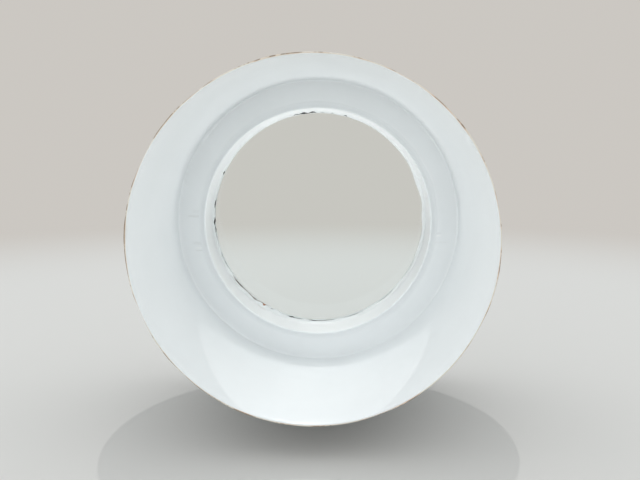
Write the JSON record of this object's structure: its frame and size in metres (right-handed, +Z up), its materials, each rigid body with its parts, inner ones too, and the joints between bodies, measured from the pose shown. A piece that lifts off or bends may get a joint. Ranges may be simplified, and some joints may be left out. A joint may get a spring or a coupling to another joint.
{
  "type": "porthole window",
  "caption": "Round fixed porthole window: clamped glass in a flanged metal body, with a timber ring and a deep round liner through the wall.",
  "frame": {"origin": "on the window's axis in the outer face of the wall, against which the flange is bedded", "axes": "+Y along the axis towards outdoors, +Z up, the room at -Y"},
  "size_m": [0.458, 0.2951, 0.458],
  "materials": {
    "liner_paint": "white gloss brushed on a rolled tube, beige at the rim",
    "ring_paint": "timber ring under white brushed paint",
    "body_paint": "white gloss paint, brushed, with a little rust at the glass",
    "clear_glass": "clear float glass with ground edges",
    "seal_rubber": "black rubber sheet, matt",
    "block_rubber": "grey glazing rubber",
    "screw_steel": "bright stainless steel",
    "sealant": "white sealant under paint, uneven inner edge",
    "filler": "painted filler, smoothed by hand"
  },
  "bodies": {
    "root": {"wall_liner": "liner_paint", "mounting_ring": "ring_paint", "window_body": "body_paint", "flange_gasket": "seal_rubber", "inner_gasket": "seal_rubber", "outer_gasket": "seal_rubber", "glass_pane": "clear_glass", "setting_blocks": "block_rubber", "location_blocks": "block_rubber", "clamp_ring": "body_paint", "clamp_screws": "screw_steel", "body_screws": "screw_steel", "liner_screws": "screw_steel", "glass_bead": "sealant", "spigot_bead": "sealant", "corner_bead": "filler"}
  },
  "joints": []
}
